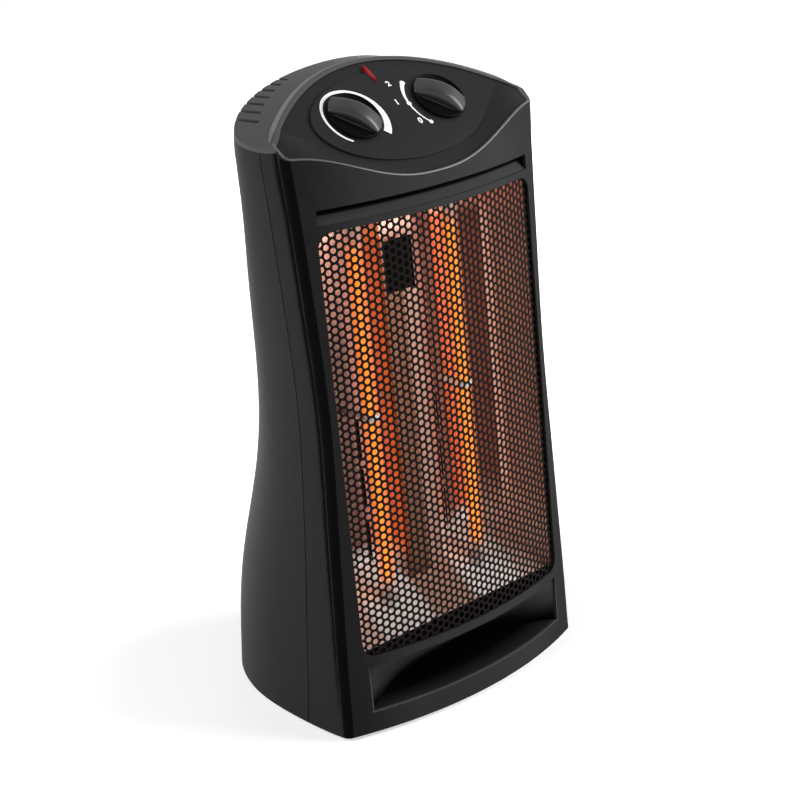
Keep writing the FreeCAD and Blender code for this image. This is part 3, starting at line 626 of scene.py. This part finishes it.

# %% [markdown]
# The bright sheet behind the tubes isn't one colour: each fold and slope throws back another part of the
# glow and of the studio light. Real reflections alone come out too even, so painted reflections, painted
# highlights and painted shade are laid into its colour, and masks by place name their strips: from left to
# right by x, outwards by the width |x|, by the way to the nearest tube's line, and by height. They stay with
# the sheet, whatever side it is seen from. One more mask marks the tubes' hot length.

# %% Places in the radiant bay
def bay_painted_light_and_hot_length():
    """Each mask is a span, in mm, of x, the width |x|, the way to a tube's line or the height z.
    Glow marks the tubes' hot length; every other mask places painted light and shade on the sheet.
    """
    names = ("Slope", "Lit slope", "Lit wall", "Left", "Near", "Flank", "Wing", "Fold", "Sill", "Head", "Foot",
             "Glow")
    g, i, o = new_group("bay_painted_light_and_hot_length", {"Tube line": TUBE_X}, names)
    x, _, z = parts_of(g, "Object")
    wide = calc(g, "ABSOLUTE", x)
    away = calc(g, "ABSOLUTE", calc(g, "SUBTRACT", wide, i.outputs["Tube line"]))
    # Slope, Left and Flank place painted shade; Near a painted reflection of the glow; Lit slope, Lit wall,
    # Wing, Fold, Sill, Head and Foot painted reflections and highlights.
    masks = {"Slope": span(g, x, -22.5, -20.5, 1.5, 4.5),
             "Lit slope": span(g, x, 1.5, 4.5, 19.5, 21.5),
             "Lit wall": span(g, x, 19.5, 21.5, 44, 49),
             "Left": times(g, span(g, x, -46, -54), span(g, z, 420, 330)),
             "Near": span(g, x, 56, 63, 78, 83),
             "Flank": span(g, wide, 80, 86),
             "Wing": span(g, wide, 104.5, 107.5),
             "Fold": span(g, wide, 103.2, 104.2, 107.2, 108.2),
             "Sill": times(g, span(g, wide, 82, 90), span(g, z, 170, 130)),
             "Head": span(g, z, 424, 434),
             "Foot": times(g, span(g, away, 34, 26), span(g, z, 146, 130)),
             "Glow": span(g, z, 110, 130, 420, 438)}
    for name, mask in masks.items():
        g.links.new(mask, o.inputs[name])
    return g


BAY_PAINTED_LIGHT_AND_HOT_LENGTH = bay_painted_light_and_hot_length()

# %% [markdown]
# The front frame is one moulding, yet parts of it show darker or lighter: the turn of the corner, the
# depth of the scoop and of the vent slot, the slot's lip and the scoop's rounded edge. These are painted
# light and shade: painted shade in the corner, the scoop and the slot, and painted highlights on the lip
# and the edge. Separate pieces would be wrong, since the real frame is one. So masks by place and by the
# direction of the surface name them, with the way behind the bowed face as the main measure.

# %% Places on the front frame
TURN_START, TURN_FULL, TURN_FADE, TURN_NONE = 0.2, 0.47, 0.978, 0.993
SCOOP_START = 3 * MM


def frame_places():
    """Corner = where the wall turns from front to side: |nx| between two limits, ny to the front.
    Scoop = the hollow below the grille, by its way behind the bowed face past its start, over Deep.
    Lip and Slot = the front and the deep part of the vent slot over the grille.
    Edge = the rounded lower and side edges of the hollow, near the bowed face."""
    # Corner, Scoop and Slot place painted shade; Lip and Edge place painted highlights.
    names = ("Corner", "Scoop", "Lip", "Slot", "Edge")
    g, i, o = new_group("frame_places", {"Deep": 24 * MM}, names)
    nx, ny, _ = parts_of(g, "Normal")
    x, y, z = parts_of(g, "Object")
    turn, side = calc(g, "ABSOLUTE", nx), calc(g, "ABSOLUTE", x)
    band = times(g, ramp(g, turn, TURN_START, TURN_FULL), ramp(g, turn, TURN_NONE, TURN_FADE))
    flat, reach = add(g, "ShaderNodeCombineXYZ"), add(g, "ShaderNodeVectorMath", operation="LENGTH")
    g.links.new(x, flat.inputs["X"])
    g.links.new(calc(g, "SUBTRACT", y, AXIS_Y), flat.inputs["Y"])
    g.links.new(flat.outputs["Vector"], reach.inputs[0])
    depth = calc(g, "SUBTRACT", FACE_R, reach.outputs["Value"])
    share = calc(g, "DIVIDE", calc(g, "SUBTRACT", depth, SCOOP_START), i.outputs["Deep"], use_clamp=True)
    within = span(g, side, 118.5, 116.5)
    gap = times(g, span(g, z, 461.2, 462.4, 476.4, 477.2), span(g, side, 122.5, 121.0))
    low = times(g, span(g, z, 22.9, 23.5, 24.4, 25.0), within)
    end = times(g, span(g, side, 116.0, 116.6, 117.6, 118.2), span(g, z, 22.9, 23.5, 56, 69))
    masks = (times(g, band, ramp(g, ny, 0.0, -0.1)),
             times(g, share, times(g, span(g, z, 72, 70), within)),
             times(g, gap, span(g, depth, 0.6, 1.0, 7.2, 8.6)),
             times(g, gap, span(g, depth, 7.2, 8.6)),
             times(g, calc(g, "MAXIMUM", low, end), span(g, depth, 2.8, 2.2)))
    for name, mask in zip(names, masks):
        g.links.new(mask, o.inputs[name])
    return g


FRAME_PLACES = frame_places()

# %% [markdown]
# A place that shows another tone gets it laid over the finish that is there already; many of these tones
# are painted light and shade. A second material on some faces would leave hard borders. Here each mask
# mixes its colour over what lies below, or lifts the roughness, so that the borders stay soft. The narrow
# vents in the crown are dark because little light gets in, and this shade is painted into the colour.
# There the mask is how much of the near space is closed.

# %% Tints over a finish
OPEN_SHARE, CLOSED_SHARE = 0.8, 0.55
BLACK = (0, 0, 0, 1)


def tinted(m, group, layers, socket="Base Color"):
    """Lays each layer's colour over a finish's own colour where the layer's mask is one."""
    t = m.node_tree
    into = t.nodes["Principled BSDF"].inputs[socket]
    g = add(t, "ShaderNodeGroup", node_tree=group)
    colour = into.links[0].from_socket if into.links else BLACK
    for mask, over in layers.items():
        colour = laid_over(t, colour, over, g.outputs[mask])
    t.links.new(colour, into)
    print(m.name, "tinted:", ", ".join(layers))


def roughened(m, group, layers):
    """Roughness is at least each layer's value where the layer's mask is one."""
    t = m.node_tree
    into = t.nodes["Principled BSDF"].inputs["Roughness"]
    g = add(t, "ShaderNodeGroup", node_tree=group)
    rough = into.links[0].from_socket
    for mask, least in layers.items():
        rough = calc(t, "MAXIMUM", calc(t, "MULTIPLY", g.outputs[mask], least), rough)
    t.links.new(rough, into)
    print(m.name, "roughened:", ", ".join(layers))


def sunk(m, reach, colour):
    """Paints shade inside narrow openings: a dark colour whose mask rises as the free share of the space
    within reach falls from the open share to the closed one."""
    t = m.node_tree
    into = t.nodes["Principled BSDF"].inputs["Base Color"]
    room = add(t, "ShaderNodeAmbientOcclusion", samples=8, only_local=True, Distance=reach)
    mask = ramp(t, room.outputs["AO"], OPEN_SHARE, CLOSED_SHARE)
    t.links.new(laid_over(t, into.links[0].from_socket, colour, mask), into)
    print(m.name, "darkened in openings narrower than about", reach, "m")


# %% [markdown]
# The housing is textured black plastic with a greyer crown, and its panel, plate and knobs are smoother
# blacks of their own. One black for all would hide where a moulding ends. Their colours are close
# together, so the roughness and the gloss tell them apart: dull on the shell, brighter on the knobs.
# The knobs' sunk floors are painted near black as painted shade, and the two rims wear lighter blacks
# as a painted highlight.

# %% Finishes of the housing and controls
shell = finish("shell_black", (0.0096, 0.0096, 0.01), (0.014, 0.014, 0.0145), (0.46, 0.58), bump=0.3,
               gloss=0.06)
front = finish("frame_black", (0.0155, 0.0155, 0.016), (0.0225, 0.0225, 0.0232), (0.46, 0.58), bump=0.3,
               gloss=0.025)
# Painted light on the frame: near-black painted shade in the corner, the scoop and the slot, and lighter
# painted highlights on the slot's lip and the scoop's edge.
tinted(front, FRAME_PLACES, {"Corner": (0.0008, 0.0008, 0.0008), "Scoop": (0.0012, 0.0012, 0.0012),
                             "Lip": (0.034, 0.034, 0.035), "Slot": (0.0008, 0.0008, 0.0008),
                             "Edge": (0.055, 0.055, 0.056)})
crown = finish("crown_grey", (0.054, 0.054, 0.0556), (0.078, 0.078, 0.08), (0.45, 0.58), bump=0.3, gloss=0.06)
# Painted shade: the crown's vents and other narrow openings are painted near black.
sunk(crown, 7 * MM, (0.0015, 0.0015, 0.0015))
# Painted highlight: the crown's rounded inner rim wears a much lighter grey than the crown itself.
bead = finish("crown_edge", (0.12, 0.12, 0.123), (0.16, 0.16, 0.164), (0.4, 0.5), bump=0.2, gloss=0.15)
panel = finish("panel_black", (0.01, 0.01, 0.0104), (0.015, 0.015, 0.0156), (0.44, 0.56), bump=0.3,
               gloss=0.07)
plate = finish("plate_black", (0.009, 0.009, 0.0094), (0.013, 0.013, 0.0136), (0.4, 0.5), bump=0.12,
               gloss=0.09)
knob = finish("knob_black", (0.009, 0.009, 0.0093), (0.013, 0.013, 0.0134), (0.3, 0.4), bump=0.1, gloss=0.4)
# Painted shade: the knob skirts' sunk floor is painted near black, darker than the knob's own black.
hollow = finish("hollow_black", (0.001, 0.001, 0.001), (0.0018, 0.0018, 0.0018), (0.55, 0.65), bump=0.1,
                gloss=0.03)
# Painted highlight: the frame's rounded rim wears a lighter black than the frame itself.
rim = finish("rim_black", (0.05, 0.05, 0.052), (0.07, 0.07, 0.073), (0.3, 0.38), bump=0.1, gloss=0.4)
ink = finish("print_white", (0.82, 0.82, 0.82), (0.9, 0.9, 0.9), (0.45, 0.55), bump=0.05)
lens = finish("lens_red", (0.15, 0.0015, 0.003), (0.24, 0.003, 0.006), (0.25, 0.35), bump=0.02, gloss=0.2,
              emit=((0.8, 0.01, 0.015), 0.05))
print("blacks from", hollow.name, "to", bead.name)

# %% [markdown]
# Behind the grille sit polished and sooty sheets, ceramic ends and the glowing tubes. Real glow could come
# from lamps inside the tubes, but light that small is noisy. So the wire and the tubes give off light
# themselves, the tubes only along their hot length, and painted reflections, highlights and shade in the
# sheets' colours do the rest.

# %% Finishes of the radiant bay
enamel = finish("grille_steel", (0.0065, 0.0055, 0.005), (0.0095, 0.008, 0.0072), (0.5, 0.65), bump=0.1,
                gloss=0.012, edge=0.1)
# Painted reflection: the polished sheet's warm copper colour stands in for the tubes' glow that it reflects.
bright = finish("bright_sheet", (0.5, 0.235, 0.175), (0.64, 0.31, 0.235), (0.17, 0.27), grain=300, bump=0.03,
                metallic=0.85)
# Painted light on the sheet: Slope, Left and Flank are painted shade, Near is a painted reflection of the
# glow, and Lit slope, Lit wall, Wing, Fold, Sill, Head and Foot are painted reflections and highlights.
tinted(bright, BAY_PAINTED_LIGHT_AND_HOT_LENGTH, {"Slope": (0.26, 0.105, 0.06), "Lit slope": (0.45, 0.25, 0.195),
                           "Lit wall": (0.98, 0.66, 0.56), "Near": (0.95, 0.16, 0.05),
                           "Flank": (0.34, 0.13, 0.095), "Wing": (0.6, 0.43, 0.37), "Left": (0.2, 0.1, 0.08),
                           "Fold": (1.0, 0.84, 0.76), "Sill": (0.8, 0.55, 0.46), "Head": (0.85, 0.48, 0.38),
                           "Foot": (0.95, 0.88, 0.84)})
roughened(bright, BAY_PAINTED_LIGHT_AND_HOT_LENGTH, {"Flank": 0.6, "Lit slope": 0.55, "Lit wall": 0.5})
lower = finish("lower_sheet", (0.46, 0.27, 0.2), (0.6, 0.36, 0.28), (0.35, 0.5), grain=300, bump=0.15,
               metallic=0.5)
# Painted highlights on the lower sheet: Sill and Foot lay pale patches where it catches light.
tinted(lower, BAY_PAINTED_LIGHT_AND_HOT_LENGTH, {"Sill": (0.8, 0.56, 0.48), "Foot": (0.95, 0.89, 0.86)})
pale = finish("pale_sheet", (0.8, 0.74, 0.7), (0.92, 0.88, 0.85), (0.3, 0.45), grain=300, bump=0.15,
              metallic=0.35)
sooty = finish("sooty_sheet", (0.0012, 0.0011, 0.001), (0.0024, 0.0022, 0.002), (0.5, 0.7), grain=120,
               bump=0.1, gloss=0.02)
ceramic = finish("ceramic", (0.78, 0.74, 0.68), (0.88, 0.85, 0.8), (0.6, 0.75), bump=0.2)
hot = finish("hot_wire", (0.3, 0.12, 0.06), (0.4, 0.16, 0.08), (0.5, 0.6), emit=((1.0, 0.36, 0.012), 1.7))
quartz = finish("quartz", (0.82, 0.76, 0.7), (0.9, 0.84, 0.78), (0.12, 0.2), bump=0.05, emit=((0, 0, 0), 0.8),
                alpha=0.42)
tinted(quartz, BAY_PAINTED_LIGHT_AND_HOT_LENGTH, {"Glow": (1.0, 0.22, 0.01)}, "Emission Color")
tinted(quartz, BAY_PAINTED_LIGHT_AND_HOT_LENGTH, {"Glow": (0.3, 0.16, 0.1)})

# %% [markdown]
# The small fittings are rubber, brown phenolic, pale plastic, zinc-coated sheet, plated steel and clear
# glass. They hardly show from the front, where plain grey would do. Some show from below and behind,
# so all of them get the grain and drift of everything else. Then every piece is dressed.

# %% Finishes of the fittings, and what each piece wears
rubber = finish("foot_rubber", (0.02, 0.02, 0.02), (0.035, 0.035, 0.035), (0.7, 0.85), bump=0.4)
phenolic = finish("phenolic", (0.07, 0.045, 0.035), (0.11, 0.075, 0.055), (0.45, 0.6), bump=0.2)
plunger_white = finish("plunger_white", (0.66, 0.65, 0.6), (0.78, 0.77, 0.72), (0.4, 0.55), bump=0.1)
zinc = finish("zinc_sheet", (0.42, 0.42, 0.42), (0.56, 0.56, 0.55), (0.35, 0.55), grain=120, bump=0.1,
              metallic=1.0)
plated = finish("plated_steel", (0.6, 0.6, 0.58), (0.72, 0.71, 0.68), (0.22, 0.34), metallic=1.0)
clear = finish("clear_glass", (0.9, 0.86, 0.8), (0.95, 0.92, 0.88), (0.05, 0.1), bump=0.02)
WEARS = {
    "front_frame": front, "rear_shell": shell, "rear_crown": crown, "control_cap": panel,
    "control_plate": plate, "thermostat_knob": knob, "power_knob": knob, "indicator_lens": lens,
    "indicator_lamp": clear, "thermostat_body": phenolic, "rotary_switch_body": phenolic,
    "thermostat_shaft": plated, "power_shaft": plated, "reflector": bright, "upper_end_plate": bright,
    "lower_end_plate": lower, "tube_clips": pale, "heat_shield": sooty, "cutout_bracket": sooty,
    "base_plate": zinc, "overheat_cutout": phenolic, "quartz_tube_left": quartz,
    "quartz_tube_right": quartz, "ceramic_ends": ceramic, "rubber_feet": rubber, "base_screws": plated,
    "tip_over_switch": phenolic, "tip_over_plunger": plunger_white,
    "terminal_block": phenolic, "cord_gland": rubber}


def wear(obj, material):
    """The material takes the place of what the object had."""
    obj.data.materials.clear()
    obj.data.materials.append(material)


for name, material in WEARS.items():
    wear(nodes[name], material)
for obj, material in ((grille, enamel), (frame_rim, rim), (crown_rim, bead)):
    wear(obj, material)
# The knob skirts wear the near black of painted shade, and the grips wear the knob's own black.
for obj in knob_pieces:
    wear(obj, hollow if "skirt" in obj.name else knob)
for obj in coils:
    wear(obj, hot)
for obj in prints:
    wear(obj, ink)
print("finished", len(WEARS), "solids")

# %% [markdown]
# The heater stands in a plain studio on a pale floor, with a white surround. A brighter world would
# whiten the picture, but also the black plastic. So floor and surround are white only to the camera and
# to mirrors and glass, and dim as a light. Near the heater the floor is lifted less, to keep its shadow.

# %% Floor and surround
FLOOR_HALF = 6.0
SHADOW_NEAR, SHADOW_FAR, NEAR_LIFT = 0.25, 0.8, 0.34
SURROUND_LIGHT = 0.2
WHITE = (1, 1, 1, 1)


def seen_by_eye(tree):
    """One for rays from the camera, or by way of a mirror or glass; nought for rays that light the part."""
    path = add(tree, "ShaderNodeLightPath").outputs
    first = calc(tree, "ADD", path["Is Camera Ray"], path["Is Glossy Ray"], use_clamp=True)
    return calc(tree, "ADD", first, path["Is Transmission Ray"], use_clamp=True)


def pale_floor(half):
    """Square floor whose own glow, to the eye, grows with the way from the heater."""
    mesh = bpy.data.meshes.new("floor")
    corners = [(-half, -half, 0), (half, -half, 0), (half, half, 0), (-half, half, 0)]
    mesh.from_pydata(corners, [], [(0, 1, 2, 3)])
    obj = put("floor", mesh)
    m = bpy.data.materials.new("pale_floor")
    m.use_nodes = True
    t = m.node_tree
    b = t.nodes["Principled BSDF"]
    for socket, value in (("Base Color", (0.9, 0.9, 0.9, 1)), ("Roughness", 0.9), ("Specular IOR Level", 0.1),
                          ("Emission Color", WHITE)):
        b.inputs[socket].default_value = value
    away = add(t, "ShaderNodeVectorMath", operation="LENGTH")
    t.links.new(add(t, "ShaderNodeTexCoord").outputs["Object"], away.inputs[0])
    lift = ramp(t, away.outputs["Value"], SHADOW_NEAR, SHADOW_FAR, NEAR_LIFT, 1.0)
    t.links.new(times(t, seen_by_eye(t), lift), b.inputs["Emission Strength"])
    mesh.materials.append(m)
    return obj


def white_surround():
    """World that is white to the eye and dim as a light."""
    world = bpy.data.worlds.new("surround")
    world.use_nodes = True
    t = world.node_tree
    b = t.nodes["Background"]
    b.inputs["Color"].default_value = WHITE
    t.links.new(ramp(t, seen_by_eye(t), 0, 1, SURROUND_LIGHT, 1.0), b.inputs["Strength"])
    return world


floor = pale_floor(FLOOR_HALF)
bpy.context.scene.world = white_surround()
bpy.context.scene.view_settings.view_transform = "Standard"
print("floor", [round(v, 2) for v in floor.dimensions], "surround", bpy.context.scene.world.name)

# %% [markdown]
# The real heater was lit from a broad source on its left and a softer one in front. Small lamps would put
# hard spots on the plastic, so each lamp here is a wide sheet of light. The key comes from the
# left, the fill from the front right, and a weak one from behind lifts the right edge.

# %% Lamps
def soft_lamp(name, place, target, size, power):
    """Rectangle of light that looks from its place to the target."""
    data = bpy.data.lights.new(name, "AREA")
    data.shape, data.size, data.size_y, data.energy = "RECTANGLE", size[0], size[1], power
    obj = put(name, data)
    obj.location = place
    obj.rotation_euler = (Vector(target) - Vector(place)).to_track_quat("-Z", "Y").to_euler()
    print(name, "lamp", power, "W")


soft_lamp("key", place=(-2.1, 0.3, 1.7), target=(0, 0, 0.35), size=(1.6, 1.6), power=52)
soft_lamp("fill", place=(1.9, -2.0, 0.85), target=(0, 0, 0.3), size=(2.2, 2.2), power=155)
soft_lamp("back", place=(1.7, 2.2, 0.4), target=(0, 0, 0.25), size=(1.4, 0.7), power=18)
